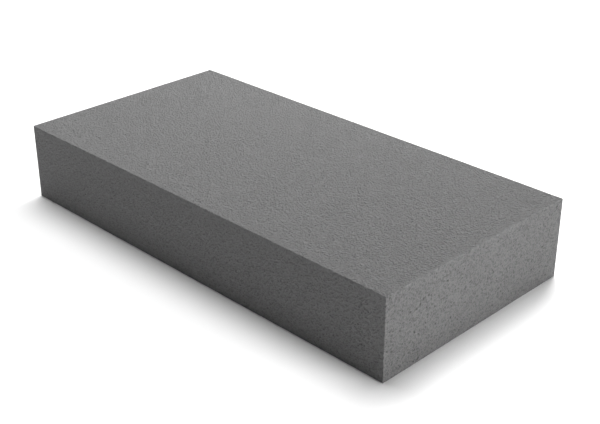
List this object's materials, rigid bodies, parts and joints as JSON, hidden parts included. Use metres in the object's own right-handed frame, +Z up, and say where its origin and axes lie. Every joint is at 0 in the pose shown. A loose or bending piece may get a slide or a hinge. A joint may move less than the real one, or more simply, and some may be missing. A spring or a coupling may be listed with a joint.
{
  "type": "floral foam brick",
  "caption": "Rectangular brick of rigid grey floral foam with flat faces and crisp edges, fine-grained on top and finely porous on its sawn sides",
  "frame": {"origin": "middle of the face that the brick rests on", "axes": "+X along the brick's length, +Y across its width, +Z up through its thickness"},
  "size_m": [0.3, 0.15, 0.05],
  "materials": {
    "foam": "matte"
  },
  "bodies": {
    "root": {"foam_brick": "foam"}
  },
  "joints": []
}
